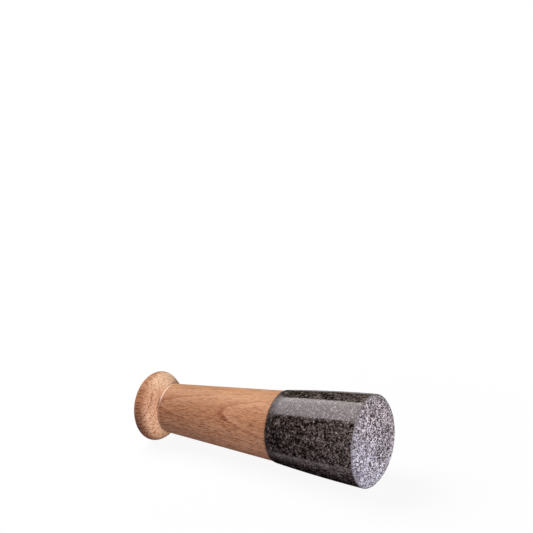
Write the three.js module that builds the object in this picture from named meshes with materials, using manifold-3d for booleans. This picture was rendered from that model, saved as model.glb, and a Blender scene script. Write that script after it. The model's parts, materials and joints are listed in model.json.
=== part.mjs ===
// A pestle with a polished granite head on a turned beech handle, lying on its side as it is put down.
// Millimetres, +Z up. The knob points to -X and the head to +X, and the floor is at z = 0.
//
// Each piece is turned about one axis. Its outline is drawn in a half plane through that axis, with x as the
// radius and y as the place along the axis, counted from the flat at the end of the knob.
import * as THREE from 'three';
import { mergeVertices } from 'three/addons/utils/BufferGeometryUtils.js';
import Module from 'manifold-3d';

// Handle
const HANDLE_LENGTH = 97.1; // from the end of the knob to the seam with the stone
const NECK_DIAMETER = 29.8; // shaft at the knob
const SEAM_DIAMETER = 41.4; // shaft at the stone
const SHOULDER_ROUND = 0.4; // broken edge of the wood at the seam
const KNOB_LENGTH = 18.8; // from the knob's end to the quirk, a small groove beside the shaft
const KNOB_OVERHANG = 6.45; // how far the knob stands out past the neck
const KNOB_FLAT_DIAMETER = 9.6; // flat in the middle of the knob's end
const KNOB_END_DEPTH = 9.1; // from the knob's end to its widest place
const KNOB_CREST = 3.8; // from the widest place to where the lines of its side and its back would meet
const QUIRK_DEPTH = 0.45;
const QUIRK_ROUND = 1.6; // how far the shaft's edge is rounded over beside the quirk

// Tenon, turned on the end of the handle
const TENON_DIAMETER = 22;
const TENON_LENGTH = 30;
const TENON_CHAMFER = 1.6;
const FLUTE_COUNT = 8; // grooves along the tenon that hold adhesive and let air out of the socket
const FLUTE_RADIUS = 1.5;
const FLUTE_RUNOUT = 4; // plain tenon left between the flutes and the shoulder

// Head
const HEAD_LENGTH = 57.3; // from the seam to the rim of the grinding face
const STONE_PROUD = 0.15; // how far the stone stands out past the wood at the seam
const RIM_DIAMETER = 52.8;
const SIDE_BOW = 0.5; // how far the polished side bulges past a straight taper
const SEAM_ROUND = 0.8; // rounded edge of the stone at the seam
const RIM_ROUND = 1.2; // rounded edge round the grinding face
const CROWN_HEIGHT = 7.4; // how far the grinding face stands out past its rim
const CROWN_SHOULDER = 5.5; // from the rim in to where the lines of the crown's side and its top would meet
const CROWN_FLAT_DIAMETER = 8; // flat in the middle of the crown
const SOCKET_CHAMFER = 0.8; // broken edge at the socket's mouth

// Adhesive
const BOND_THICKNESS = 0.8; // between the tenon and the wall of the socket
const BOND_FLOOR = 2; // under the end of the tenon
const FIT_GAP = 0.3; // clearance between neighbouring pieces

// Facets
const SIDES = 36;
const CURVE_STEPS = 6; // steps along a curve, and half the steps along an arc
const ROUND_STEPS = 3; // steps along a rounded edge
const FLUTE_SIDES = 12;
const TILT_PASSES = 4; // passes that find where the pestle touches the floor
const SAME_POINT = 1e-6; // points closer than this are one

// Places along the axis
const SEAM = HANDLE_LENGTH;
const SEAT = SEAM + FIT_GAP; // face of the stone that the shoulder meets
const RIM = SEAM + HEAD_LENGTH;
const TENON_END = SEAM + TENON_LENGTH;
const BOND_END = TENON_END + FIT_GAP + BOND_FLOOR;
const SOCKET_END = BOND_END + FIT_GAP;

// Radii
const NECK_RADIUS = NECK_DIAMETER / 2;
const KNOB_RADIUS = NECK_RADIUS + KNOB_OVERHANG;
const RIM_RADIUS = RIM_DIAMETER / 2;
const TENON_RADIUS = TENON_DIAMETER / 2;
const BOND_RADIUS = TENON_RADIUS + FIT_GAP + BOND_THICKNESS;
const SOCKET_RADIUS = BOND_RADIUS + FIT_GAP;

const wasm = await Module();
wasm.setup();

const point = (radius, place) => new THREE.Vector2(radius, place);

// Points of the arc that rounds a corner between two edges, kept within half of each edge.
function roundedCorner(before, corner, after, radius) {
  const back = before.clone().sub(corner);
  const ahead = after.clone().sub(corner);
  const half = back.angleTo(ahead) / 2;
  const reach = Math.min(radius / Math.tan(half), back.length() / 2, ahead.length() / 2);
  const start = back.clone().setLength(reach).add(corner);
  const end = ahead.clone().setLength(reach).add(corner);
  const centre = back.normalize().add(ahead.normalize()).setLength(reach / Math.cos(half)).add(corner);
  const points = [];
  for (let i = 0; i <= ROUND_STEPS; i += 1) {
    const chord = start.clone().lerp(end, i / ROUND_STEPS);
    points.push(chord.sub(centre).setLength(reach * Math.tan(half)).add(centre));
  }
  return points;
}

// The outline with its corner at the given point replaced by an arc.
function withRound(outline, corner, radius) {
  const i = outline.findIndex((p) => p.distanceTo(corner) < SAME_POINT);
  const arc = roundedCorner(outline[i - 1], outline[i], outline[i + 1], radius);
  return [...outline.slice(0, i), ...arc, ...outline.slice(i + 1)];
}

// A closed geometry as a solid that can be joined and cut. A lathe leaves slivers on its axis, which are dropped.
function solid(geometry) {
  geometry.deleteAttribute('normal');
  geometry.deleteAttribute('uv');
  const merged = mergeVertices(geometry);
  const corners = merged.index.array;
  const triVerts = [];
  for (let i = 0; i < corners.length; i += 3) {
    const [a, b, c] = corners.slice(i, i + 3);
    if (a !== b && b !== c && c !== a) triVerts.push(a, b, c);
  }
  return new wasm.Manifold(new wasm.Mesh({
    numProp: 3,
    vertProperties: new Float32Array(merged.attributes.position.array),
    triVerts: new Uint32Array(triVerts),
  }));
}

// An outline turned about the Y axis. Half a facet of turn puts a flat underneath when the axis lies along X.
function turned(outline) {
  return solid(new THREE.LatheGeometry(outline, SIDES, Math.PI / SIDES));
}

// Outline of the tenon from its root to its end, stood off by a clearance.
function tenonOutline(clearance) {
  const radius = TENON_RADIUS + clearance;
  const end = TENON_END + clearance;
  return [
    point(radius, SEAM),
    point(radius, end - TENON_CHAMFER),
    point(radius - TENON_CHAMFER, end),
    point(0, end),
  ];
}

// Outline of the handle: flattened knob, quirk, straight taper, shoulder and tenon.
function handleOutline() {
  const flat = KNOB_FLAT_DIAMETER / 2;
  const neck = point(NECK_RADIUS, KNOB_LENGTH);
  const shoulder = point(SEAM_DIAMETER / 2, SEAM);
  const shaft = neck.clone().lerp(shoulder, QUIRK_ROUND / (SEAM - KNOB_LENGTH));
  const path = new THREE.Path();
  path.moveTo(0, 0);
  path.lineTo(flat, 0);
  path.absellipse(flat, KNOB_END_DEPTH, KNOB_RADIUS - flat, KNOB_END_DEPTH, -Math.PI / 2, 0);
  path.quadraticCurveTo(KNOB_RADIUS, KNOB_END_DEPTH + KNOB_CREST, neck.x - QUIRK_DEPTH, neck.y);
  path.quadraticCurveTo(neck.x, neck.y, shaft.x, shaft.y);
  path.lineTo(shoulder.x, shoulder.y);
  const outline = [...path.getPoints(CURVE_STEPS), ...tenonOutline(0)];
  return withRound(outline, shoulder, SHOULDER_ROUND);
}

// Outline of the head: socket, seat, bowed side and crowned face.
function headOutline() {
  const edge = point(SEAM_DIAMETER / 2 + STONE_PROUD, SEAT);
  const rim = point(RIM_RADIUS, RIM);
  const bowHandle = edge.clone().lerp(rim, 0.5).add(point(2 * SIDE_BOW, 0));
  const top = RIM + CROWN_HEIGHT;
  const path = new THREE.Path();
  path.moveTo(0, SOCKET_END);
  path.lineTo(SOCKET_RADIUS, SOCKET_END);
  path.lineTo(SOCKET_RADIUS, SEAT + SOCKET_CHAMFER);
  path.lineTo(SOCKET_RADIUS + SOCKET_CHAMFER, SEAT);
  path.lineTo(edge.x, edge.y);
  path.quadraticCurveTo(bowHandle.x, bowHandle.y, rim.x, rim.y);
  path.quadraticCurveTo(rim.x - CROWN_SHOULDER, top, CROWN_FLAT_DIAMETER / 2, top);
  path.lineTo(0, top);
  return withRound(withRound(path.getPoints(CURVE_STEPS), edge, SEAM_ROUND), rim, RIM_ROUND);
}

// Round-ended rods along the tenon's surface, from the blind ends of the flutes past the end of the tenon.
function fluteRods(radius) {
  const start = SEAM + FLUTE_RUNOUT + FLUTE_RADIUS;
  const rods = [];
  for (let i = 0; i < FLUTE_COUNT; i += 1) {
    const rod = new THREE.CapsuleGeometry(radius, TENON_END - start, ROUND_STEPS, FLUTE_SIDES);
    rod.translate(0, (start + TENON_END) / 2, TENON_RADIUS);
    rod.rotateY((2 * Math.PI * i) / FLUTE_COUNT);
    rods.push(solid(rod));
  }
  return rods;
}

function beechHandle() {
  return fluteRods(FLUTE_RADIUS).reduce((body, rod) => body.subtract(rod), turned(handleOutline()));
}

function graniteHead() {
  return turned(headOutline());
}

// The adhesive fills the socket round the tenon, so it has a rib in each flute.
function epoxyBond() {
  const fill = [point(0, SEAT), point(BOND_RADIUS, SEAT), point(BOND_RADIUS, BOND_END), point(0, BOND_END)];
  const tenon = turned([point(0, SEAM), ...tenonOutline(FIT_GAP)]);
  const fluted = fluteRods(FLUTE_RADIUS - FIT_GAP).reduce((body, rod) => body.subtract(rod), tenon);
  return turned(fill).subtract(fluted);
}

// A named mesh of one piece.
function piece(name, body, finish) {
  const { vertProperties, triVerts } = body.getMesh();
  const geometry = new THREE.BufferGeometry();
  geometry.setAttribute('position', new THREE.BufferAttribute(vertProperties, 3));
  geometry.setIndex(new THREE.BufferAttribute(triVerts, 1));
  geometry.computeVertexNormals();
  const mesh = new THREE.Mesh(geometry, new THREE.MeshStandardMaterial(finish));
  mesh.name = name;
  return mesh;
}

// Angle between the axis and the floor when the knob and the head both touch it, each with a flat facet down.
function lyingTilt() {
  const facet = Math.cos(Math.PI / SIDES);
  const lowest = (outline, slope) => {
    const reach = (p) => p.x * facet - slope * p.y;
    return outline.reduce((best, p) => (reach(p) > reach(best) ? p : best));
  };
  let slope = 0;
  for (let pass = 0; pass < TILT_PASSES; pass += 1) {
    const knob = lowest(handleOutline().filter((p) => p.y < SEAM / 2), slope);
    const head = lowest(headOutline(), slope);
    slope = ((head.x - knob.x) * facet) / (head.y - knob.y);
  }
  return Math.atan(slope);
}

const upright = new THREE.Group();
upright.add(piece('beech_handle', beechHandle(), { color: 0xc08a62, roughness: 0.5, metalness: 0 }));
upright.add(piece('granite_head', graniteHead(), { color: 0x4a4546, roughness: 0.2, metalness: 0 }));
upright.add(piece('epoxy_bond', epoxyBond(), { color: 0xc9b88a, roughness: 0.3, metalness: 0 }));

// Lays the pestle along +X and lets its narrower knob down to the floor.
const lying = new THREE.Group();
upright.rotation.z = -Math.PI / 2;
lying.rotation.y = -lyingTilt();
lying.add(upright);

// Puts the floor at z = 0 and the middle of the pestle over the origin.
const pestle = new THREE.Group();
pestle.add(lying);
pestle.updateMatrixWorld(true);
const box = new THREE.Box3().setFromObject(pestle, true);
const middle = box.getCenter(new THREE.Vector3());
pestle.position.set(-middle.x, -middle.y, -box.min.z);
pestle.updateMatrixWorld(true);

export default pestle;
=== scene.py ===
"""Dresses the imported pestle: a turned beech handle in a polished granite head, lying on a white floor.

The faceted solids of the frame give the axis, the lengths and the widest radii. The handle and the head are
turned again here as smooth pieces on that axis, the grinding face is roughened, and each piece gets a finish
made of nodes. Everything is in metres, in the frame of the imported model.
"""

import json
import logging
import math
from collections.abc import Sequence
from dataclasses import dataclass
from enum import Enum
from itertools import pairwise

import bpy
from mathutils import Matrix, Vector


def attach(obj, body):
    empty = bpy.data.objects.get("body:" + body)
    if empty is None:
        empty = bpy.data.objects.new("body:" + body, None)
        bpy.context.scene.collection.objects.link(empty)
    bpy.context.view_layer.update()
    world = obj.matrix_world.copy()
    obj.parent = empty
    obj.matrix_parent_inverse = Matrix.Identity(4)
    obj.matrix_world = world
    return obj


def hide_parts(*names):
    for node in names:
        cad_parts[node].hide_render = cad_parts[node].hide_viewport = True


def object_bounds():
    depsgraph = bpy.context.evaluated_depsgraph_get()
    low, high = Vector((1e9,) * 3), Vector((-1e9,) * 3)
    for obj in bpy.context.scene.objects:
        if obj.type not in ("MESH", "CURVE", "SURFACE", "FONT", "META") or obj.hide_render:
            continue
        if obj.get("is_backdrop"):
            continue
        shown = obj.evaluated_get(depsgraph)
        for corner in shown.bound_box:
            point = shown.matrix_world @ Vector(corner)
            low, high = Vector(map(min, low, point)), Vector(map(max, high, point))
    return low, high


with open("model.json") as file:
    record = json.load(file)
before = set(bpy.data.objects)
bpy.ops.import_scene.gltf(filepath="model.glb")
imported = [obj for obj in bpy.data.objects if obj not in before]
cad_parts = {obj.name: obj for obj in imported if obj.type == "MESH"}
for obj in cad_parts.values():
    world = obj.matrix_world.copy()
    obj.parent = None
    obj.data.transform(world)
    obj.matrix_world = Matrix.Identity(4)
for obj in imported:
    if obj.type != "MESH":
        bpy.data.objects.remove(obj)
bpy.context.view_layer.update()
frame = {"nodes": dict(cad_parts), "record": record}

LOG = logging.getLogger("pestle")
BODY = "root"
KNOB_MOUNT = "knob_end"
MM = 0.001
SAME_POINT = 0.0005 * MM

Station = tuple[float, float]
Span = tuple[float, float]
Size = tuple[float, float, float]
Colour = tuple[float, float, float, float]
Socket = bpy.types.NodeSocket
Value = float | Socket


class CadNode(Enum):
    """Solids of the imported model."""

    HANDLE = "beech_handle"
    HEAD = "granite_head"
    BOND = "epoxy_bond"


class Slot(Enum):
    """Material slots of the pieces that are turned again."""

    BEECH = "beech"
    GRANITE = "granite"


@dataclass(frozen=True)
class TurningAxis:
    """The line that every piece is turned about, from the end of the knob towards the grinding face."""

    start: Vector
    along: Vector

    @classmethod
    def from_mounts(cls, mounts: Sequence[dict]) -> "TurningAxis":
        """Reads the axis from the flat at the end of the knob.

        Args:
            mounts: the record's mounts.

        Returns:
            The axis, which starts on that flat and runs into the wood.
        """
        knob_end = next(mount for mount in mounts if mount["name"] == KNOB_MOUNT)
        return cls(Vector(knob_end["pos_m"]), -Vector(knob_end["axis"]).normalized())

    @property
    def tilt(self) -> float:
        """Angle by which the axis rises from the floor."""
        return math.asin(self.along.z)

    def placing(self) -> Matrix:
        """Matrix that lays a piece turned about X at the origin onto this axis."""
        return Matrix.Translation(self.start) @ Matrix.Rotation(-self.tilt, 4, "Y")

    def stations_of(self, node: CadNode) -> list[Station]:
        """Places along the axis and radii of all corners of a solid.

        Args:
            node: the solid to measure.

        Returns:
            One (place, radius) pair for each corner.
        """
        stations = []
        for corner in frame["nodes"][node.value].data.vertices:
            offset = corner.co - self.start
            place = offset.dot(self.along)
            stations.append((place, (offset - place * self.along).length))
        return stations

    def span(self, node: CadNode) -> tuple[float, float]:
        """Lowest and highest place of a solid along the axis."""
        places = [place for place, _ in self.stations_of(node)]
        return min(places), max(places)

    def reach(self, node: CadNode) -> float:
        """Largest radius of a solid."""
        return max(radius for _, radius in self.stations_of(node))


def line(start: Station, end: Station, steps: int) -> list[Station]:
    """Stations along a straight stretch of an outline, without its first one.

    Args:
        start: where the stretch begins.
        end: where it ends.
        steps: number of equal steps.

    Returns:
        The stations after the start.
    """
    shares = [step / steps for step in range(1, steps + 1)]
    return [(start[0] + t * (end[0] - start[0]), start[1] + t * (end[1] - start[1])) for t in shares]


def arc(centre: Station, reach: Station, start: float, end: float, steps: int) -> list[Station]:
    """Stations along an elliptic stretch of an outline.

    Args:
        centre: centre of the ellipse.
        reach: half widths of the ellipse along the axis and away from it.
        start: first angle, where 0 points away from the axis and a right angle points along it.
        end: last angle.
        steps: number of equal steps.

    Returns:
        The stations, both ends included.
    """
    angles = [start + (end - start) * step / steps for step in range(steps + 1)]
    return [(centre[0] + reach[0] * math.sin(a), centre[1] + reach[1] * math.cos(a)) for a in angles]


def bow(start: Station, handle: Station, end: Station, steps: int) -> list[Station]:
    """Stations along a quadratic curve.

    Args:
        start: where the curve begins.
        handle: the point that its ends head for.
        end: where it ends.
        steps: number of steps.

    Returns:
        The stations, both ends included.
    """
    stations = []
    for step in range(steps + 1):
        t = step / steps
        weights = ((1 - t) ** 2, 2 * t * (1 - t), t * t)
        place, radius = (
            sum(w * p[i] for w, p in zip(weights, (start, handle, end))) for i in range(2)
        )
        stations.append((place, radius))
    return stations


def walk(outline: Sequence[Station], reach: float) -> tuple[int, Station]:
    """Goes a given way along an outline from its first station.

    Args:
        outline: the stations to walk along.
        reach: the way to go.

    Returns:
        How many stations were passed after the first, and the point that was reached.
    """
    left = reach
    for passed, (here, ahead) in enumerate(pairwise(outline)):
        length = math.dist(here, ahead)
        if length >= left:
            t = left / length
            return passed, (here[0] + t * (ahead[0] - here[0]), here[1] + t * (ahead[1] - here[1]))
        left -= length
    return len(outline) - 1, outline[-1]


def softened(outline: Sequence[Station], corner: Station, reach: float, steps: int) -> list[Station]:
    """Rounds one corner of an outline.

    Args:
        outline: the stations.
        corner: the station to round.
        reach: how far from the corner the round begins and ends.
        steps: number of steps along the round.

    Returns:
        The outline with the corner replaced by a curve.
    """
    at = list(outline).index(corner)
    passed_back, start = walk(outline[at::-1], reach)
    passed_ahead, end = walk(outline[at:], reach)
    curve = bow(start, corner, end, steps)
    return [*outline[: at - passed_back], *curve, *outline[at + passed_ahead + 1:]]


def turned(name: str, outline: Sequence[Station], sides: int) -> bpy.types.Object:
    """Turns an outline about X at the origin.

    A plane is merged to one point, the point is extruded along the outline, and the edge is spun.

    Args:
        name: name of the new object.
        outline: stations from one end of the axis to the other.
        sides: number of steps round the axis.

    Returns:
        The closed body, selected and active.
    """
    bpy.ops.object.select_all(action="DESELECT")
    bpy.ops.mesh.primitive_plane_add(size=MM)
    body = bpy.context.object
    body.name = name
    body.data.name = name
    bpy.ops.object.mode_set(mode="EDIT")
    bpy.ops.mesh.select_all(action="SELECT")
    bpy.ops.mesh.merge(type="CENTER")
    bpy.ops.transform.translate(value=(outline[0][0], 0, outline[0][1]))
    for here, ahead in pairwise(outline):
        step = (ahead[0] - here[0], 0, ahead[1] - here[1])
        bpy.ops.mesh.extrude_vertices_move(TRANSFORM_OT_translate={"value": step})
    bpy.ops.mesh.select_all(action="SELECT")
    bpy.ops.mesh.spin(steps=sides, angle=math.tau, center=(0, 0, 0), axis=(1, 0, 0))
    bpy.ops.mesh.select_all(action="SELECT")
    bpy.ops.mesh.remove_doubles(threshold=SAME_POINT)
    bpy.ops.mesh.normals_make_consistent(inside=False)
    bpy.ops.object.mode_set(mode="OBJECT")
    return body


def laid(body: bpy.types.Object, axis: TurningAxis, crease: float) -> None:
    """Lays a turned body onto the pestle's axis, with its place in its mesh, and shades it.

    Args:
        body: a body turned about X at the origin.
        axis: where it goes.
        crease: edges sharper than this angle stay sharp.
    """
    bpy.ops.object.select_all(action="DESELECT")
    body.select_set(True)
    bpy.context.view_layer.objects.active = body
    body.matrix_world = axis.placing()
    bpy.ops.object.transform_apply(location=True, rotation=True, scale=True)
    bpy.ops.object.shade_smooth_by_angle(angle=crease)


def dressed(piece: bpy.types.Object, finish: bpy.types.Material) -> None:
    """Gives a piece its only material."""
    piece.data.materials.clear()
    piece.data.materials.append(finish)


class NodeSheet:
    """The node tree of one material or of the world, with short calls that add a node and join it."""

    def __init__(self, owner: bpy.types.Material | bpy.types.World) -> None:
        """Starts an empty tree.

        Args:
            owner: the material or the world that the tree belongs to.
        """
        self.owner = owner
        self.owner.use_nodes = True
        self.tree = self.owner.node_tree
        self.tree.nodes.clear()

    @classmethod
    def of_material(cls, name: str) -> "NodeSheet":
        """Starts a new material."""
        return cls(bpy.data.materials.new(name))

    def feed(self, socket: Socket, value: Value | Sequence[float]) -> None:
        """Joins a socket to another one, or sets its number.

        Args:
            socket: the input to fill.
            value: the output to join it to, or its number or numbers.
        """
        if isinstance(value, bpy.types.NodeSocket):
            self.tree.links.new(value, socket)
        else:
            socket.default_value = value

    def node(self, kind: str, settings: dict | None = None, **inputs: Value) -> bpy.types.Node:
        """Adds a node.

        Args:
            kind: the node's type without its usual prefix.
            settings: properties of the node.
            inputs: values or sockets for its inputs, with _ for a space in a name.

        Returns:
            The new node.
        """
        node = self.tree.nodes.new("ShaderNode" + kind)
        for key, value in (settings or {}).items():
            setattr(node, key, value)
        for key, value in inputs.items():
            self.feed(node.inputs[key.replace("_", " ")], value)
        return node

    def math(self, operation: str, *terms: Value) -> Socket:
        """A number worked out from one or two others.

        Args:
            operation: what is done with them.
            terms: the numbers.

        Returns:
            The result.
        """
        node = self.node("Math", {"operation": operation})
        for socket, term in zip(node.inputs, terms):
            self.feed(socket, term)
        return node.outputs[0]

    def plus(self, first: Value, second: Value) -> Socket:
        """The sum of two numbers."""
        return self.math("ADD", first, second)

    def minus(self, first: Value, second: Value) -> Socket:
        """The first number less the second."""
        return self.math("SUBTRACT", first, second)

    def times(self, first: Value, second: Value) -> Socket:
        """The product of two numbers."""
        return self.math("MULTIPLY", first, second)

    def rest(self, share: Value) -> Socket:
        """What a share leaves of 1."""
        return self.minus(1.0, share)

    def ridge(self, share: Value) -> Socket:
        """1 where a share is one half, falling to 0 where it is 0 or 1."""
        return self.times(self.times(share, self.rest(share)), 4.0)

    def between(self, share: Value, low: float, high: float) -> Socket:
        """The number at a share of the way from one number to another."""
        return self.plus(low, self.times(share, high - low))

    def mixed(self, first: Value, second: Value, share: float) -> Socket:
        """A share of one number with the rest of another."""
        return self.plus(self.times(first, share), self.times(second, 1.0 - share))

    def swing(self, noise: Socket) -> Socket:
        """How far a noise lies above or below its middle of one half."""
        return self.minus(noise, 0.5)

    def diagonal(self, first: Value, second: Value) -> Socket:
        """The length of the diagonal over two sides."""
        return self.math("SQRT", self.plus(self.times(first, first), self.times(second, second)))

    def counted(self, vector: Socket, size: float | Size) -> Socket:
        """Coordinates counted in features.

        Args:
            vector: the coordinates.
            size: size of a feature, one for all directions or one for each.

        Returns:
            The coordinates divided by the size.
        """
        sizes = (size,) * 3 if isinstance(size, float) else size
        node = self.node("VectorMath", {"operation": "MULTIPLY"})
        self.feed(node.inputs[0], vector)
        self.feed(node.inputs[1], [1 / width for width in sizes])
        return node.outputs[0]

    def step(self, value: Value, low: float, high: float) -> Socket:
        """A smooth rise from 0 at one value to 1 at another."""
        settings = {"interpolation_type": "SMOOTHSTEP"}
        return self.node("MapRange", settings, Value=value, From_Min=low, From_Max=high).outputs[0]

    def blend(self, factor: Value, first: Value | Colour, second: Value | Colour, how: str = "MIX") -> Socket:
        """A colour between two others.

        Args:
            factor: share of the second colour.
            first: colour at 0.
            second: colour at 1.
            how: blend mode.

        Returns:
            The mixed colour.
        """
        node = self.node("Mix", {"data_type": "RGBA", "blend_type": how})
        colours = [socket for socket in node.inputs if socket.type == "RGBA"]
        self.feed(node.inputs["Factor"], factor)
        self.feed(colours[0], first)
        self.feed(colours[1], second)
        return next(socket for socket in node.outputs if socket.type == "RGBA")

    def tinted(self, colour: Value | Colour, tint: Value | Colour) -> Socket:
        """A colour multiplied by a tint."""
        return self.blend(1.0, colour, tint, "MULTIPLY")

    def ramp(self, factor: Value, places: Sequence[float], colours: Sequence[Colour]) -> Socket:
        """A colour looked up in a row of colours.

        Args:
            factor: where to look.
            places: where each colour stands, in rising order.
            colours: the colours.

        Returns:
            The colour found.
        """
        node = self.node("ValToRGB", Fac=factor)
        elements = node.color_ramp.elements
        while len(elements) < len(places):
            elements.new(1.0)
        for element, place, colour in zip(elements, places, colours):
            element.position = place
            element.color = colour
        return node.outputs["Color"]

    def noise(
        self, vector: Socket, size: float | Size, detail: float = 2.0, roughness: float = 0.5
    ) -> Socket:
        """Smooth noise.

        Args:
            vector: the coordinates.
            size: size of its features.
            detail: number of finer layers.
            roughness: strength of the finer layers.

        Returns:
            Numbers round one half.
        """
        place = self.counted(vector, size)
        node = self.node("TexNoise", Vector=place, Scale=1.0, Detail=detail, Roughness=roughness)
        return node.outputs["Fac"]

    def cells(self, vector: Socket, size: float) -> bpy.types.Node:
        """Random cells of about a size."""
        return self.node("TexVoronoi", Vector=self.counted(vector, size), Scale=1.0)

    def lots(self, vector: Socket, size: float, draw: int = 0) -> Socket:
        """One of three numbers drawn for each random cell."""
        return self.split(self.cells(vector, size).outputs["Color"])[draw]

    def place_on(self, axis: TurningAxis, turn: float = 0.0) -> Socket:
        """Coordinates in millimetres on the pestle's axis, from the end of the knob.

        Args:
            axis: the axis, which becomes X.
            turn: turn of the other two directions about it.

        Returns:
            The coordinates.
        """
        coordinates = self.node("TexCoord").outputs["Object"]
        mapping = self.node(
            "Mapping",
            {"vector_type": "TEXTURE"},
            Vector=coordinates,
            Location=axis.start,
            Rotation=(turn, -axis.tilt, 0.0),
            Scale=(MM, MM, MM),
        )
        return mapping.outputs[0]

    def split(self, vector: Socket) -> list[Socket]:
        """The three numbers of a vector."""
        return list(self.node("SeparateXYZ", Vector=vector).outputs)

    def bump(self, height: Socket, depth: float) -> Socket:
        """A normal tipped by a height of 0 to 1 that stands for a depth in metres."""
        return self.node("Bump", Height=height, Strength=1.0, Distance=depth).outputs["Normal"]

    def direct(self) -> Socket:
        """1 for rays that come straight from the camera, and 0 for others."""
        return self.node("LightPath").outputs["Is Camera Ray"]

    def seen(self) -> Socket:
        """Tells rays that show a surface to the camera from those that only carry light.

        Returns:
            1 for rays from the camera or by way of a polished or clear surface, and 0 for others.
        """
        rays = self.node("LightPath").outputs
        mirrored = self.math("MAXIMUM", rays["Is Glossy Ray"], rays["Is Transmission Ray"])
        return self.math("MAXIMUM", rays["Is Camera Ray"], mirrored)

    def close(self, shader: Socket) -> bpy.types.Material:
        """Ends the tree with a shader and returns the material."""
        self.feed(self.node("OutputMaterial").inputs["Surface"], shader)
        return self.owner


@dataclass(frozen=True)
class WoodPoint:
    """Sockets that say where a point lies in the wood."""

    place: Socket
    along: Socket
    across: Socket
    outward: Socket
    shaft: Socket
    back: Socket
    crown: Socket


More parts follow.
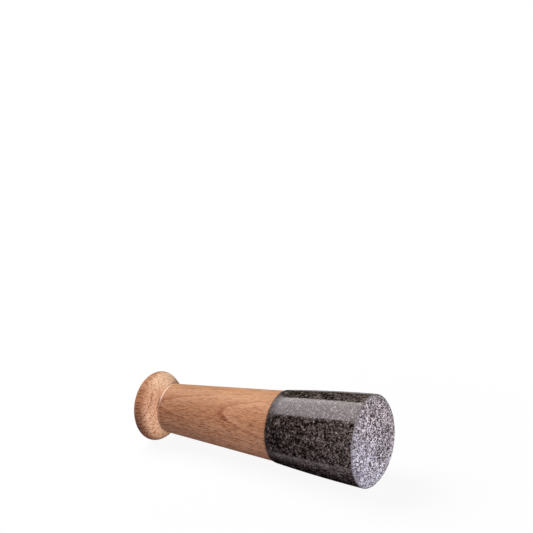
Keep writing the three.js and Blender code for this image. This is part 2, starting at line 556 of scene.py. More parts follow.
@dataclass(frozen=True)
class BeechFinish:
    """Satin beech, cut from a plank so that its growth rings show as long arches on the camera's side.

    Rings are shells round the heart of the tree, dark on their outer side. Rays are thin dark lenses among
    the fibres. Places and sizes are in millimetres: along the axis, across the plank and outward to the bark.
    A span gives the places where something begins and ends, or its least and its most.
    """

    # Parts of the handle, and the crown of the arches on it.
    axis: TurningAxis
    bark_turn: float = math.radians(61)
    neck: Span = (18.5, 20.8)
    knob_back: Span = (9.5, 14.5)
    knob_slant: float = 0.06
    crown_reach: Span = (3.0, 12.0)

    # Growth rings, counted from the heart of the tree.
    heart: float = 75.0
    ring_start: float = 15.1
    ring_width: float = 3.15
    last_ring: Span = (19.6, 20.4)
    wander: float = 1.6
    wander_size: Size = (38.0, 13.0, 13.0)
    pale: Colour = (0.6, 0.325, 0.178, 1.0)
    early: Colour = (0.53, 0.275, 0.143, 1.0)
    middle: Colour = (0.49, 0.235, 0.116, 1.0)
    late: Colour = (0.39, 0.163, 0.077, 1.0)
    knob_late: Colour = (0.32, 0.12, 0.056, 1.0)
    ring_places: tuple[float, ...] = (0.0, 0.04, 0.34, 0.6, 0.84, 0.95)
    knob_ring_places: tuple[float, ...] = (0.0, 0.05, 0.2, 0.8, 0.86, 0.93)
    ring_share: Span = (0.54, 0.89)
    patch_size: Size = (9.0, 2.5, 2.5)
    patch_range: Span = (0.2, 0.55)
    knob_patch: float = 0.85
    crown_tint: Colour = (0.92, 0.85, 0.85, 1.0)

    # Tints, most of them painted light and shade: the knob's end darker, with painted shade on its low side;
    # painted light and sheen on the knob's back, most on its upper side; painted light that makes the shaft
    # paler towards the head; and the clouds over them.
    # Painted shade: the end of the knob is darker on its low side.
    end_shade_reach: Span = (-20.0, -2.0)
    end_shaded: Colour = (0.47, 0.425, 0.415, 1.0)
    end_high: Colour = (0.89, 0.82, 0.79, 1.0)
    # Painted light and sheen: the knob's back is paler, most on its upper side.
    back_light_reach: Span = (3.0, 14.0)
    back_light_low: Colour = (1.4, 1.66, 1.95, 1.0)
    back_light_high: Colour = (1.54, 2.02, 2.6, 1.0)
    # Painted light: the shaft is darker near the knob and paler near the head.
    shaft_light_reach: Span = (30.0, 85.0)
    shaft_light_near: Colour = (0.95, 0.95, 0.96, 1.0)
    shaft_light_far: Colour = (1.11, 1.12, 1.14, 1.0)
    cloud_size: Size = (14.0, 1.7, 1.7)
    cloud_places: tuple[float, ...] = (0.3, 0.5, 0.7)
    cloud_dark: Colour = (0.86, 0.82, 0.8, 1.0)
    cloud_plain: Colour = (1.0, 1.0, 1.0, 1.0)
    cloud_pale: Colour = (1.08, 1.1, 1.1, 1.0)

    # Fibres, and rays that are bolder on the low side and calm on the end of the knob.
    fibre_size: Size = (5.0, 0.42, 0.42)
    ray_range: Span = (0.4, 0.5)
    knob_fibre_size: Size = (6.0, 0.75, 0.75)
    knob_ray_range: Span = (0.38, 0.5)
    bold_reach: Span = (8.0, -10.0)
    ray_share: Span = (0.58, 0.98)
    end_ray: float = 0.3
    calm_reach: Span = (1.0, 7.5)
    calm_share: Span = (0.3, 1.0)
    fleck: Colour = (0.52, 0.4, 0.34, 1.0)
    fibre_rise: float = 0.8
    ray_dip: float = 0.4
    pore_depth: float = 0.04 * MM

    # The polish, and a pale worn edge at the neck, with a painted highlight on its upper side, where it is
    # also glossier.
    highlight_across: Span = (-4.0, 5.0)
    highlight_outward: Span = (0.0, 6.0)
    edge_highlight_share: Span = (0.05, 0.75)
    # Pale colour of the neck's edge: a little of it all round as wear, and on the upper side a painted
    # highlight.
    edge: Colour = (0.82, 0.62, 0.52, 1.0)
    roughness: float = 0.6
    neck_roughness: float = 0.25
    specular: float = 0.28

    def point(self, sheet: NodeSheet) -> WoodPoint:
        """Finds a point's place in the wood.

        Args:
            sheet: the material's tree.

        Returns:
            Its coordinates, and its shares in the shaft, the back of the knob and the crown of the arches.
        """
        place = sheet.place_on(self.axis, self.bark_turn)
        along, across, outward = sheet.split(place)
        slanted = sheet.plus(along, sheet.times(across, self.knob_slant))
        return WoodPoint(
            place,
            along,
            across,
            outward,
            shaft=sheet.step(along, *self.neck),
            back=sheet.step(slanted, *self.knob_back),
            crown=sheet.rest(sheet.step(sheet.math("ABSOLUTE", across), *self.crown_reach)),
        )

    def ringed(self, sheet: NodeSheet, point: WoodPoint) -> Socket:
        """Draws the growth rings, in patches on the shaft and clearest on the crown of the arches.

        Args:
            sheet: the material's tree.
            point: place in the wood.

        Returns:
            The wood's colour.
        """
        wander = sheet.swing(sheet.noise(point.place, self.wander_size))
        from_heart = sheet.diagonal(point.across, sheet.plus(point.outward, self.heart))
        grown = sheet.plus(from_heart, sheet.times(wander, self.wander))
        rings = sheet.math("DIVIDE", sheet.minus(grown, self.heart + self.ring_start), self.ring_width)
        share = sheet.math("FRACT", rings)
        colours = (self.late, self.pale, self.early, self.early, self.middle)
        shaft_ring = sheet.ramp(share, self.ring_places, (*colours, self.late))
        knob_ring = sheet.ramp(share, self.knob_ring_places, (*colours, self.knob_late))
        ring = sheet.blend(point.shaft, knob_ring, shaft_ring)

        patches = sheet.step(sheet.noise(point.place, self.patch_size, detail=3.0), *self.patch_range)
        knob_patch = sheet.times(sheet.rest(point.shaft), self.knob_patch)
        clear = sheet.between(point.crown, *self.ring_share)
        bark = sheet.step(grown, *(self.heart + limit for limit in self.last_ring))
        drawn = sheet.times(sheet.math("MAXIMUM", patches, knob_patch), clear)
        colour = sheet.blend(sheet.times(drawn, sheet.rest(bark)), self.early, ring)
        return sheet.blend(point.crown, colour, sheet.tinted(colour, self.crown_tint))

    def tint(self, sheet: NodeSheet, point: WoodPoint) -> Socket:
        """Tints the end of the knob with painted shade on its low side, its back with painted light and
        sheen, and the shaft with painted light that grows towards the head.

        Args:
            sheet: the material's tree.
            point: place in the wood.

        Returns:
            The tint.
        """
        # Painted shade on the end of the knob, darker on its low side.
        end = sheet.blend(sheet.step(point.across, *self.end_shade_reach), self.end_shaded, self.end_high)
        # Painted light and sheen on the back of the knob.
        back = sheet.blend(sheet.step(point.across, *self.back_light_reach), self.back_light_low, self.back_light_high)
        # Painted light along the shaft, paler towards the head.
        shaft_light = sheet.blend(sheet.step(point.along, *self.shaft_light_reach), self.shaft_light_near, self.shaft_light_far)
        return sheet.blend(point.shaft, sheet.blend(point.back, end, back), shaft_light)

    def rays(self, sheet: NodeSheet, point: WoodPoint, fibre: Socket) -> Socket:
        """Finds the rays between the fibres, coarser on the knob and calm on its end.

        Args:
            sheet: the material's tree.
            point: place in the wood.
            fibre: noise of the shaft's fibres.

        Returns:
            The strength of the ray at a point.
        """
        plain = sheet.between(sheet.step(point.across, *self.bold_reach), *self.ray_share)
        shaft_ray = sheet.times(sheet.rest(sheet.step(fibre, *self.ray_range)), point.shaft)

        knob_fibre = sheet.noise(point.place, self.knob_fibre_size, detail=1.0)
        knob_ray = sheet.rest(sheet.step(knob_fibre, *self.knob_ray_range))
        knob_ray = sheet.times(knob_ray, sheet.rest(point.shaft))
        crest = sheet.plus(plain, sheet.times(sheet.rest(point.back), self.end_ray))
        calm = sheet.between(sheet.step(point.along, *self.calm_reach), *self.calm_share)
        knob_ray = sheet.times(knob_ray, sheet.math("MINIMUM", crest, calm))
        return sheet.plus(sheet.times(shaft_ray, plain), knob_ray)

    def build(self) -> bpy.types.Material:
        """Makes the material.

        Returns:
            The material.
        """
        sheet = NodeSheet.of_material("satin_beech")
        point = self.point(sheet)
        # The tint paints shade and light into the wood's colour.
        colour = sheet.tinted(self.ringed(sheet, point), self.tint(sheet, point))
        cloud = sheet.noise(point.place, self.cloud_size, detail=4.0, roughness=0.6)
        tones = (self.cloud_dark, self.cloud_plain, self.cloud_pale)
        colour = sheet.tinted(colour, sheet.ramp(cloud, self.cloud_places, tones))
        fibre = sheet.noise(point.place, self.fibre_size)
        ray = self.rays(sheet, point, fibre)
        colour = sheet.blend(ray, colour, sheet.tinted(colour, self.fleck))
        pores = sheet.minus(sheet.times(fibre, self.fibre_rise), sheet.times(ray, self.ray_dip))

        # Painted highlight on the neck's upper edge, with a little wear all round; the same mask makes that
        # edge glossier.
        lit_across = sheet.step(point.across, *self.highlight_across)
        lit_outward = sheet.step(point.outward, *self.highlight_outward)
        edge_highlight = sheet.between(sheet.times(lit_across, lit_outward), *self.edge_highlight_share)
        worn_and_lit = sheet.times(sheet.ridge(point.shaft), edge_highlight)
        smoothing = (self.neck_roughness - self.roughness) / max(self.edge_highlight_share)
        shader = sheet.node(
            "BsdfPrincipled",
            Base_Color=sheet.blend(worn_and_lit, colour, self.edge),
            Roughness=sheet.plus(self.roughness, sheet.times(worn_and_lit, smoothing)),
            Specular_IOR_Level=self.specular,
            Normal=sheet.bump(pores, self.pore_depth),
        )
        return sheet.close(shader.outputs[0])


@dataclass(frozen=True)
class StonePoint:
    """Sockets that say where a point lies in the stone, and how its grains and patches fall there."""

    place: Socket
    along: Socket
    aside: Socket
    above: Socket
    from_axis: Socket
    crumb: Socket
    patch: Socket
    drift: Socket
    mix: Socket


@dataclass(frozen=True)
class GraniteFinish:
    """Dark granite: polished on the side, bush-hammered and pale on the grinding face.

    Places and sizes are in millimetres: along the axis, aside from it and above it. The seat and the rim are
    those of the head, in metres. A span gives the places where something begins and ends, or its two ends.
    """

    # The head, and the grain that its side and its face share.
    axis: TurningAxis
    seat: float
    rim: float
    crumb: float = 0.45
    patch: float = 2.8
    grain: float = 0.7
    grain_share: float = 0.4

    # Polished side, with painted shade that makes the underside blacker, found by its height over its
    # distance from the axis.
    black: Colour = (0.0022, 0.0014, 0.0011, 1.0)
    brown: Colour = (0.02, 0.0132, 0.011, 1.0)
    grey: Colour = (0.062, 0.044, 0.038, 1.0)
    pale: Colour = (0.215, 0.18, 0.165, 1.0)
    side_places: tuple[float, ...] = (0.38, 0.47, 0.57, 0.72)
    side_drift: float = 0.45
    paling: float = 0.0021
    paling_start: float = 27.0
    spark: float = 0.8
    spark_range: Span = (0.95, 0.98)
    spark_patch: Span = (0.5, 0.65)
    glint: Colour = (0.4, 0.36, 0.35, 1.0)
    # Painted shade: the underside is blended towards black.
    shaded_underside: Span = (-0.48, -0.72)
    underside_shade_share: float = 0.55

    # Grinding face.
    chip: float = 0.6
    chip_share: float = 0.7
    face_drift: float = 0.46
    # Painted light: the face grows paler towards its bottom.
    low_light_slope: float = -0.0023
    use: float = -0.085
    use_reach: Span = (5.0, 16.0)
    middle: float = 0.56
    near_middle: float = 0.54
    spread: Span = (0.8, 1.5)
    spread_reach: Span = (-24.0, 0.0)
    bruise_dark: Colour = (0.04, 0.031, 0.03, 1.0)
    bruise: Colour = (0.165, 0.148, 0.154, 1.0)
    bruise_pale: Colour = (0.57, 0.55, 0.61, 1.0)
    bruise_white: Colour = (0.9, 0.89, 0.92, 1.0)
    face_places: tuple[float, ...] = (0.2, 0.46, 0.72, 0.9)
    crystal: float = 3.2
    crystal_range: Span = (0.54, 0.64)
    crystal_share: float = 0.35
    crystal_blue: Colour = (0.34, 0.345, 0.41, 1.0)
    # Painted light: the face is bluish on its low near side, where the floor's bounce falls, and warmer on
    # its upper far side.
    light_slant: float = 1.2
    light_reach: Span = (-34.0, 22.0)
    near_light_tint: Colour = (0.99, 1.0, 1.03, 1.0)
    far_light_tint: Colour = (1.03, 0.968, 0.93, 1.0)
    hone_reach: Span = (25.9, 26.35)
    hone_share: float = 0.75
    honed: Colour = (0.22, 0.205, 0.215, 1.0)

    # Edge of the face before the rim, and the polish, which is duller near the seam.
    face_edge: Span = (-0.8, -0.5)
    face_ragged: float = 0.4
    polish: float = 0.12
    seam_polish: float = 0.5
    seam_reach: float = 8.0
    tooth: float = 0.9
    specular: float = 0.35
    sheen: Colour = (0.98, 0.885, 1.0, 1.0)
    pit_depth: float = 0.12 * MM

    def point(self, sheet: NodeSheet) -> StonePoint:
        """Finds a point's place in the stone.

        Args:
            sheet: the material's tree.

        Returns:
            Its coordinates, its distance from the axis, and the noises of crumbs, patches and grains there.
        """
        place = sheet.place_on(self.axis)
        along, aside, above = sheet.split(place)
        crumb = sheet.noise(place, self.crumb, detail=3.0, roughness=0.65)
        patch = sheet.noise(place, self.patch, detail=3.0)
        grain = sheet.lots(place, self.grain)
        return StonePoint(
            place,
            along,
            aside,
            above,
            from_axis=sheet.diagonal(aside, above),
            crumb=crumb,
            patch=patch,
            drift=sheet.swing(patch),
            mix=sheet.mixed(grain, crumb, self.grain_share),
        )

    def side(self, sheet: NodeSheet, point: StonePoint) -> Socket:
        """Colours the polished side: paler towards the rim, with a few sparks and painted shade that makes
        the underside blacker.

        Args:
            sheet: the material's tree.
            point: place in the stone.

        Returns:
            The colour.
        """
        past_start = sheet.minus(point.along, self.rim / MM - self.paling_start)
        shade = sheet.plus(point.mix, sheet.times(past_start, self.paling))
        shade = sheet.plus(shade, sheet.times(point.drift, self.side_drift))
        colour = sheet.ramp(shade, self.side_places, (self.black, self.brown, self.grey, self.pale))
        drawn = sheet.step(sheet.lots(point.place, self.spark, draw=1), *self.spark_range)
        spark = sheet.times(drawn, sheet.step(point.patch, *self.spark_patch))
        colour = sheet.blend(spark, colour, self.glint)
        # Painted shade: the underside is blended towards black.
        shaded_underside = sheet.step(sheet.math("DIVIDE", point.above, point.from_axis), *self.shaded_underside)
        return sheet.blend(sheet.times(shaded_underside, self.underside_shade_share), colour, self.black)

    def dust(self, sheet: NodeSheet, point: StonePoint) -> Socket:
        """Finds how pale the grinding face is: worn in the middle, paler towards its bottom as painted light,
        with less contrast on the near side.

        Args:
            sheet: the material's tree.
            point: place in the stone.

        Returns:
            The paleness, from about 0 to 1.
        """
        chips = sheet.mixed(sheet.lots(point.place, self.chip), point.crumb, self.chip_share)
        used = sheet.rest(sheet.step(point.from_axis, *self.use_reach))
        # Painted light makes the face paler towards its bottom, and the worn middle is darker.
        worn_and_lit = sheet.plus(sheet.times(point.above, self.low_light_slope), sheet.times(used, self.use))
        dust = sheet.plus(sheet.plus(chips, worn_and_lit), sheet.times(point.drift, self.face_drift))
        far = sheet.step(point.aside, *self.spread_reach)
        contrast = sheet.times(sheet.minus(dust, self.middle), sheet.between(far, *self.spread))
        return sheet.plus(sheet.between(far, self.near_middle, self.middle), contrast)

    def face(self, sheet: NodeSheet, point: StonePoint, dust: Socket) -> Socket:
        """Colours the grinding face: bruised chips, bluish crystals, a painted light tint and a honed edge.

        Args:
            sheet: the material's tree.
            point: place in the stone.
            dust: paleness of the face.

        Returns:
            The colour.
        """
        bruises = (self.bruise_dark, self.bruise, self.bruise_pale, self.bruise_white)
        colour = sheet.ramp(dust, self.face_places, bruises)
        crystals = sheet.step(sheet.noise(point.place, self.crystal, detail=1.0), *self.crystal_range)
        colour = sheet.blend(sheet.times(crystals, self.crystal_share), colour, self.crystal_blue)
        # Painted light: bluish on the low near side, where the floor's bounce falls, and warmer on the upper
        # far side.
        slanted = sheet.plus(point.aside, sheet.times(point.above, self.light_slant))
        tint = sheet.blend(sheet.step(slanted, *self.light_reach), self.near_light_tint, self.far_light_tint)
        hone = sheet.times(sheet.step(point.from_axis, *self.hone_reach), self.hone_share)
        return sheet.blend(hone, sheet.tinted(colour, tint), self.honed)

    def build(self) -> bpy.types.Material:
        """Makes the material.

        Returns:
            The material.
        """
        sheet = NodeSheet.of_material("dark_granite")
        point = self.point(sheet)
        side = self.side(sheet, point)
        dust = self.dust(sheet, point)
        face = self.face(sheet, point, dust)

        rim = self.rim / MM
        seat = self.seat / MM
        ragged = sheet.plus(point.along, sheet.times(sheet.swing(point.mix), self.face_ragged))
        rough = sheet.step(ragged, *(rim + limit for limit in self.face_edge))
        near_seam = sheet.rest(sheet.step(point.along, seat, seat + self.seam_reach))
        polish = sheet.between(near_seam, self.polish, self.seam_polish)
        shader = sheet.node(
            "BsdfPrincipled",
            Base_Color=sheet.blend(rough, side, face),
            Roughness=sheet.plus(sheet.times(rough, self.tooth - self.polish), polish),
            Specular_IOR_Level=self.specular,
            Specular_Tint=self.sheen,
            Normal=sheet.bump(sheet.times(dust, rough), self.pit_depth),
        )
        return sheet.close(shader.outputs[0])


@dataclass(frozen=True)
class EpoxyFinish:
    """Cured adhesive, amber and a little cloudy. Sizes are in millimetres."""

    clear: Colour = (0.62, 0.51, 0.27, 1.0)
    cloudy: Colour = (0.5, 0.42, 0.24, 1.0)
    haze: float = 4.0
    bubble: float = 0.9
    bubble_range: Span = (0.05, 0.25)
    bubble_depth: float = 0.02 * MM
    roughness: float = 0.25

    def build(self) -> bpy.types.Material:
        """Makes the material.

        Returns:
            The material.
        """
        sheet = NodeSheet.of_material("cured_epoxy")
        place = sheet.counted(sheet.node("TexCoord").outputs["Object"], MM)
        haze = sheet.noise(place, self.haze, detail=4.0)
        bubbles = sheet.step(sheet.cells(place, self.bubble).outputs["Distance"], *self.bubble_range)
        shader = sheet.node(
            "BsdfPrincipled",
            Base_Color=sheet.blend(haze, self.clear, self.cloudy),
            Roughness=self.roughness,
            Normal=sheet.bump(bubbles, self.bubble_depth),
        )
        return sheet.close(shader.outputs[0])


@dataclass(frozen=True)
class FloorFinish:
    """White paper with a trace of the pestle's shadow.

    In the polished stone the floor shows as dim paper, with a pale card beside the pestle that glows only in
    reflections, and white far off.
    Places are in metres on the floor, and those of the card count from a slanting line beside the pestle.
    """

    white: Colour = (1.0, 1.0, 1.0, 1.0)
    paper: Colour = (0.86, 0.84, 0.88, 1.0)
    bounce: Colour = (0.4, 0.385, 0.5, 1.0)
    shadow_share: float = 0.08
    shadow_reach: Span = (0.08, 0.3)
    dim: Colour = (0.031, 0.025, 0.0275, 1.0)
    mirror_reach: Span = (0.4, 1.0)
    card_white: Colour = (1.0, 0.88, 0.9, 1.0)
    card_side: float = 0.0195
    card_slant: float = 0.19
    card_edge: Span = (-0.0056, -0.0048)
    card_fade: Span = (0.0085, -0.002)
    card_falloff: float = 2.0

    def card(self, sheet: NodeSheet, place: Socket) -> Socket:
        """Finds the pale card that the stone mirrors, a strip of the floor that glows only in reflections.

        Args:
            sheet: the material's tree.
            place: coordinates on the floor.

        Returns:
            Its brightness, which rises to 1 at its outer edge and ends there.
        """
        ahead, aside, _ = sheet.split(place)
        from_line = sheet.plus(sheet.plus(aside, self.card_side), sheet.times(ahead, self.card_slant))
        start, end = self.card_fade
        fade = sheet.node("MapRange", Value=from_line, From_Min=start, From_Max=end).outputs[0]
        bright = sheet.math("POWER", fade, self.card_falloff)
        return sheet.times(bright, sheet.step(from_line, *self.card_edge))

    def build(self) -> bpy.types.Material:
        """Makes the material.

        Returns:
            The material.
        """
        sheet = NodeSheet.of_material("white_floor")
        place = sheet.node("TexCoord").outputs["Object"]
        away = sheet.node("VectorMath", {"operation": "LENGTH"})
        sheet.feed(away.inputs[0], place)
        distance = away.outputs["Value"]
        direct = sheet.direct()
        mirrored = sheet.minus(sheet.seen(), direct)

        lit = sheet.blend(mirrored, self.bounce, self.dim)
        paper = sheet.node("BsdfDiffuse", Color=sheet.blend(direct, lit, self.paper))
        white = sheet.blend(mirrored, self.white, self.card_white)
        glow = sheet.node("Emission", Color=white, Strength=1.0)

        shade = sheet.times(sheet.rest(sheet.step(distance, *self.shadow_reach)), self.shadow_share)
        far_off = sheet.step(distance, *self.mirror_reach)
        mirrored_white = sheet.times(mirrored, sheet.math("MAXIMUM", self.card(sheet, place), far_off))
        plain = sheet.plus(sheet.times(direct, sheet.rest(shade)), mirrored_white)
        mix = sheet.node("MixShader", Fac=plain)
        sheet.feed(mix.inputs[1], paper.outputs[0])
        sheet.feed(mix.inputs[2], glow.outputs[0])
        return sheet.close(mix.outputs[0])


@dataclass(frozen=True)
class RoomFinish:
    """A dim room with a white backdrop: low down in every reflection, and all over for the camera."""

    ambient: Colour = (0.056, 0.047, 0.046, 1.0)
    dim: Colour = (0.032, 0.027, 0.0263, 1.0)
    white: Colour = (1.0, 1.0, 1.0, 1.0)
    backdrop: Span = (0.0, 0.06)

    def build(self) -> bpy.types.World:
        """Makes the world.

        Returns:
            The world.
        """
        world = bpy.data.worlds.new("dim_room")
        sheet = NodeSheet(world)
        height = sheet.split(sheet.node("TexCoord").outputs["Generated"])[2]
        low = sheet.rest(sheet.step(height, *self.backdrop))
        seen = sheet.seen()
        shown = sheet.math("MAXIMUM", sheet.direct(), sheet.times(low, seen))
        room = sheet.blend(seen, self.ambient, self.dim)
        light = sheet.node("Background", Color=sheet.blend(shown, room, self.white), Strength=1.0)
        sheet.feed(sheet.node("OutputWorld").inputs["Surface"], light.outputs[0])
        return world


@dataclass
class Handle:
    """The beech handle: a flattened knob, a quirk, a tapered shaft and a fluted tenon."""

    axis: TurningAxis
    seam: float
    tenon_end: float
    knob_radius: float
    knob_flat: float = 4.8 * MM
    knob_end_depth: float = 9.1 * MM
    knob_crest: float = 3.8 * MM
    knob_length: float = 18.8 * MM
    neck_radius: float = 14.9 * MM
    quirk_depth: float = 0.45 * MM
    quirk_round: float = 1.6 * MM
    shoulder_radius: float = 20.7 * MM
    shoulder_round: float = 0.4 * MM
    tenon_radius: float = 11 * MM
    tenon_chamfer: float = 1.6 * MM
    flute_count: int = 8
    flute_radius: float = 1.5 * MM
    flute_runout: float = 4 * MM
    flute_sides: int = 24
    flute_end_steps: int = 8
    knob_steps: int = 36
    quirk_steps: int = 8
    shaft_steps: int = 40
    shoulder_steps: int = 10
    round_steps: int = 6
    tenon_steps: int = 12
    chamfer_steps: int = 2
    disc_steps: int = 4
    sides: int = 224
    crease: float = math.radians(35)

    @classmethod
    def on(cls, axis: TurningAxis) -> "Handle":
        """Takes the handle's lengths and its widest radius from the frame.

        Args:
            axis: the pestle's axis.

        Returns:
            The handle, not yet built.
        """
        _, tenon_end = axis.span(CadNode.HANDLE)
        seam, _ = axis.span(CadNode.BOND)
        return cls(axis, seam, tenon_end, axis.reach(CadNode.HANDLE))

    def outline(self) -> list[Station]:
        """Half section of the handle.

        Returns:
            Stations from the end of the knob to the end of the tenon, both on the axis.
        """
        end_shade_reach = (self.knob_end_depth, self.knob_radius - self.knob_flat)
        end_centre = (self.knob_end_depth, self.knob_flat)
        end = arc(end_centre, end_shade_reach, -math.pi / 2, 0.0, self.knob_steps)
        crest = (self.knob_end_depth + self.knob_crest, self.knob_radius)
        neck = (self.knob_length, self.neck_radius)
        quirk = (self.knob_length, self.neck_radius - self.quirk_depth)
        shoulder = (self.seam, self.shoulder_radius)
        _, shaft = walk((neck, shoulder), self.quirk_round)
        tenon_root = (self.seam, self.tenon_radius)
        chamfer = (self.tenon_end - self.tenon_chamfer, self.tenon_radius)
        tip = (self.tenon_end, self.tenon_radius - self.tenon_chamfer)
        stations = [
            (0.0, 0.0),
            *line((0.0, 0.0), end[0], self.disc_steps)[:-1],
            *end,
            *bow(end[-1], crest, quirk, self.knob_steps)[1:],
            *bow(quirk, neck, shaft, self.quirk_steps)[1:],
            *line(shaft, shoulder, self.shaft_steps),
            *line(shoulder, tenon_root, self.shoulder_steps),
            *line(tenon_root, chamfer, self.tenon_steps),
            *line(chamfer, tip, self.chamfer_steps),
            *line(tip, (self.tenon_end, 0.0), self.disc_steps),
        ]
        return softened(stations, shoulder, self.shoulder_round, self.round_steps)

    def flute(self, body: bpy.types.Object) -> None:
        """Cuts the round-ended grooves along the tenon that hold the adhesive.

        Args:
            body: the handle, turned about X at the origin.
        """
        start = self.seam + self.flute_runout + self.flute_radius
        end = self.tenon_end + self.flute_radius
        reach = (self.flute_radius, self.flute_radius)
        blind_end = arc((start, 0.0), reach, -math.pi / 2, 0.0, self.flute_end_steps)
        rod = turned("flute_rods", [*blind_end, (end, self.flute_radius), (end, 0.0)], self.flute_sides)
        rod.location.z = self.tenon_radius
        rods = [rod]
        for number in range(1, self.flute_count):
            bpy.ops.object.duplicate()
            copy = bpy.context.object
            turn = Matrix.Rotation(math.tau * number / self.flute_count, 4, "X")
            copy.matrix_world = turn @ Matrix.Translation((0, 0, self.tenon_radius))
            rods.append(copy)
        for copy in rods:
            copy.select_set(True)
        bpy.ops.object.join()
        cutter = bpy.context.object
        bpy.ops.object.select_all(action="DESELECT")
        body.select_set(True)
        bpy.context.view_layer.objects.active = body
        cut = body.modifiers.new("flutes", "BOOLEAN")
        cut.operation = "DIFFERENCE"
        cut.object = cutter
        bpy.ops.object.modifier_apply(modifier=cut.name)
        bpy.data.meshes.remove(cutter.data)

    def build(self) -> bpy.types.Object:
        """Turns the handle, cuts its flutes and lays it on the axis.

        Returns:
            The finished piece, not yet dressed.
        """
        body = turned("turned_beech_handle", self.outline(), self.sides)
        self.flute(body)
        laid(body, self.axis, self.crease)
        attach(body, BODY)
        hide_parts(CadNode.HANDLE.value)
        return body

    def dress(self, body: bpy.types.Object) -> None:
        """Gives the handle its finish."""
        dressed(body, BeechFinish(self.axis).build())


@dataclass
class Head:
    """The granite head: a socket, a bowed polished side and a rough crowned grinding face."""

    axis: TurningAxis
    seat: float
    tip: float
    rim_radius: float
    crown_height: float = 7.4 * MM
    crown_shoulder: float = 5.5 * MM
    crown_flat: float = 4 * MM
    seam_radius: float = 21.25 * MM
    side_bow: float = 0.5 * MM
    seam_round: float = 0.85 * MM
    rim_round: float = 1.0 * MM
    socket_radius: float = 12.4 * MM
    socket_depth: float = 32.6 * MM
    socket_chamfer: float = 0.8 * MM
    lump_size: float = 2.4 * MM
    lump_height: float = 0.22 * MM
    pit_size: float = 0.7 * MM
    pit_depth: float = 0.2 * MM
    noise_layers: int = 2
    disc_steps: int = 4
    socket_steps: int = 10
    chamfer_steps: int = 2
    seat_steps: int = 8
    side_steps: int = 48
    crown_steps: int = 80
    flat_steps: int = 8
    round_steps: int = 8
    sides: int = 320
    crease: float = math.radians(40)

    @classmethod
    def on(cls, axis: TurningAxis) -> "Head":
        """Takes the head's ends and its widest radius from the frame."""
        seat, tip = axis.span(CadNode.HEAD)
        return cls(axis, seat, tip, axis.reach(CadNode.HEAD))

    @property
    def rim(self) -> float:
        """Place of the rim along the axis."""
        return self.tip - self.crown_height

    def outline(self) -> list[Station]:
        """Half section of the head.

        Returns:
            Stations from the floor of the socket to the top of the crown, both on the axis.
        """
        floor = self.seat + self.socket_depth
        mouth = (self.seat + self.socket_chamfer, self.socket_radius)
        lip = (self.seat, self.socket_radius + self.socket_chamfer)
        edge = (self.seat, self.seam_radius)
        rim = (self.rim, self.rim_radius)
        middle = ((edge[0] + rim[0]) / 2, (edge[1] + rim[1]) / 2 + 2 * self.side_bow)
        shoulder = (self.tip, self.rim_radius - self.crown_shoulder)
        flat = (self.tip, self.crown_flat)
        stations = [
            (floor, 0.0),
            *line((floor, 0.0), (floor, self.socket_radius), self.disc_steps),
            *line((floor, self.socket_radius), mouth, self.socket_steps),
            *line(mouth, lip, self.chamfer_steps),
            *line(lip, edge, self.seat_steps),
            *bow(edge, middle, rim, self.side_steps)[1:-1],
            rim,
            *bow(rim, shoulder, flat, self.crown_steps)[1:],
            *line(flat, (self.tip, 0.0), self.flat_steps),
        ]
        stations = softened(stations, edge, self.seam_round, self.round_steps)
        return softened(stations, rim, self.rim_round, self.round_steps)

    def roughen(self, body: bpy.types.Object) -> None:
        """Lifts lumps and sinks pits in the grinding face, fading out at its rim.

        Args:
            body: the head, turned about X at the origin.
        """
        face = body.vertex_groups.new(name="grinding_face")
        for corner in body.data.vertices:
            share = (corner.co.x - self.rim) / self.rim_round
            if share > 0 and corner.co.yz.length < self.rim_radius:
                face.add([corner.index], min(share, 1.0), "REPLACE")
        sizes = (("lumps", self.lump_size, self.lump_height), ("pits", self.pit_size, self.pit_depth))
        for name, size, height in sizes:
            texture = bpy.data.textures.new(name, "CLOUDS")
            texture.noise_scale = size
            texture.noise_depth = self.noise_layers
            modifier = body.modifiers.new(name, "DISPLACE")
            modifier.texture = texture
            modifier.texture_coords = "LOCAL"
            modifier.strength = height
            modifier.mid_level = 0.5
            modifier.vertex_group = face.name
            bpy.ops.object.modifier_apply(modifier=name)
        body.vertex_groups.clear()

    def build(self) -> bpy.types.Object:
        """Turns the head, roughens its face and lays it on the axis.

        Returns:
            The finished piece, not yet dressed.
        """
        body = turned("polished_granite_head", self.outline(), self.sides)
        self.roughen(body)
        laid(body, self.axis, self.crease)
        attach(body, BODY)
        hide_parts(CadNode.HEAD.value)
        return body

    def dress(self, body: bpy.types.Object) -> None:
        """Gives the head its finish."""
        dressed(body, GraniteFinish(self.axis, self.seat, self.rim).build())


@dataclass
class Bond:
    """The adhesive in the socket, kept as the frame has it."""

    def build(self) -> bpy.types.Object:
        """Finds the solid."""
        return frame["nodes"][CadNode.BOND.value]

    def dress(self, body: bpy.types.Object) -> None:
        """Gives the adhesive its finish."""
        dressed(body, EpoxyFinish().build())


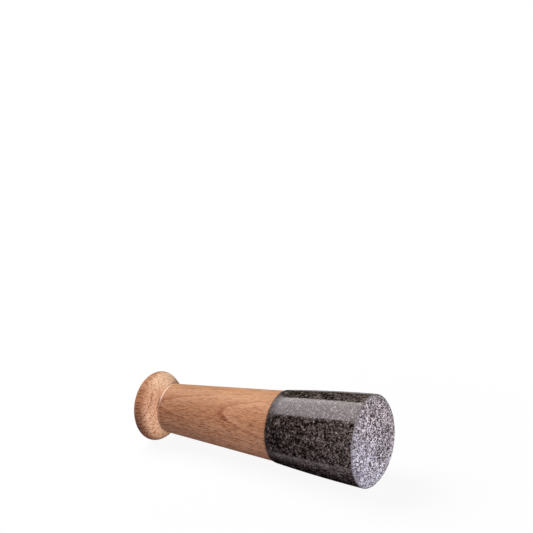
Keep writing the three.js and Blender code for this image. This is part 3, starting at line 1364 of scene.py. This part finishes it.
@dataclass(frozen=True)
class Softbox:
    """A flat lamp that faces the pestle. Polished surfaces mirror only a share of its light."""

    name: str
    azimuth: float
    elevation: float
    distance: float
    width: float
    height: float
    brightness: float
    colour: tuple[float, float, float]
    mirror_share: float

    def build(self, aim: Vector) -> None:
        """Adds the lamp, as one lamp that polished surfaces mirror and one that they don't.

        Args:
            aim: the point that it faces.
        """
        level = math.cos(self.elevation)
        ahead = level * math.cos(self.azimuth)
        aside = level * math.sin(self.azimuth)
        way = Vector((ahead, aside, math.sin(self.elevation)))
        for mirrored, share in ((True, self.mirror_share), (False, 1.0 - self.mirror_share)):
            if not share:
                continue
            bpy.ops.object.select_all(action="DESELECT")
            bpy.ops.object.light_add(type="AREA", location=aim + self.distance * way)
            lamp = bpy.context.object
            lamp.name = self.name
            lamp.rotation_euler = (-way).to_track_quat("-Z", "Y").to_euler()
            lamp.visible_camera = False
            lamp.visible_glossy = mirrored
            lamp.data.shape = "RECTANGLE"
            lamp.data.size = self.width
            lamp.data.size_y = self.height
            lamp.data.color = self.colour
            # A flat lamp with this power shines with the given brightness.
            lamp.data.energy = math.pi * self.width * self.height * self.brightness * share


@dataclass
class Studio:
    """White floor, two softboxes and a dim room."""

    floor_size: float = 14.0
    aim: tuple[float, float, float] = (0.02, 0.0, 0.025)
    softboxes: tuple[Softbox, ...] = (
        Softbox(
            name="key_softbox",
            azimuth=math.radians(178),
            elevation=math.radians(51.2),
            distance=1.0,
            width=0.97,
            height=0.5,
            brightness=10.3,
            colour=(1.0, 0.975, 0.94),
            mirror_share=0.59,
        ),
        Softbox(
            name="side_softbox",
            azimuth=math.radians(-24),
            elevation=math.radians(6),
            distance=1.0,
            width=0.6,
            height=0.2,
            brightness=29.5,
            colour=(1.0, 0.97, 1.0),
            mirror_share=0.0,
        ),
    )

    def build(self, ground: float) -> None:
        """Sets up the floor, the lamps and the room.

        Args:
            ground: height of the floor.
        """
        bpy.ops.object.select_all(action="DESELECT")
        bpy.ops.mesh.primitive_plane_add(size=self.floor_size, location=(0, 0, ground))
        floor = bpy.context.object
        floor.name = "floor"
        dressed(floor, FloorFinish().build())
        floor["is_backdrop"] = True
        for softbox in self.softboxes:
            softbox.build(Vector(self.aim))
        bpy.context.scene.world = RoomFinish().build()


@dataclass(frozen=True)
class PhotoCamera:
    """A camera that sees the pestle as the photograph does.

    Its angles and its lens were fitted to the outline. Lengths are in metres, the sensor in millimetres.
    """

    azimuth: float = math.radians(30.075)
    elevation: float = math.radians(12.298)
    distance: float = 0.64
    target: tuple[float, float, float] = (-0.0009, 0.0, 0.02127)
    target_pixel: tuple[float, float] = (256.85, 425.89)
    focal_pixels: float = 1086.1
    image_pixels: int = 533
    sensor: float = 36.0

    def build(self) -> None:
        """Adds the camera and makes it the scene's."""
        level = math.cos(self.elevation)
        across = (math.cos(self.azimuth), math.sin(self.azimuth))
        back = Vector((across[1] * level, -across[0] * level, math.sin(self.elevation)))
        right = Vector((*across, 0.0))
        up = back.cross(right)
        pixel = self.distance / self.focal_pixels
        aside = (self.target_pixel[0] - self.image_pixels / 2) * pixel
        below = (self.target_pixel[1] - self.image_pixels / 2) * pixel
        place = Vector(self.target) + self.distance * back - aside * right + below * up
        turn = Matrix((right, up, back)).transposed().to_4x4()
        bpy.ops.object.select_all(action="DESELECT")
        bpy.ops.object.camera_add()
        camera = bpy.context.object
        camera.name = "photo_camera"
        camera.matrix_world = Matrix.Translation(place) @ turn
        camera.data.sensor_width = self.sensor
        camera.data.lens = self.focal_pixels * self.sensor / self.image_pixels
        bpy.context.scene.camera = camera


def main() -> None:
    """Builds the pieces, the camera and the studio in order, and reports each piece."""
    logging.basicConfig(level=logging.INFO, format="%(name)s: %(message)s")
    bpy.context.scene.view_settings.view_transform = "Standard"
    axis = TurningAxis.from_mounts(frame["record"]["mounts"])
    PhotoCamera().build()
    for maker in (Handle.on(axis), Head.on(axis), Bond()):
        piece = maker.build()
        maker.dress(piece)
        LOG.info("%s: %d faces", piece.name, len(piece.data.polygons))
    lowest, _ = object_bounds()
    Studio().build(lowest.z)


if __name__ == "__main__":
    main()
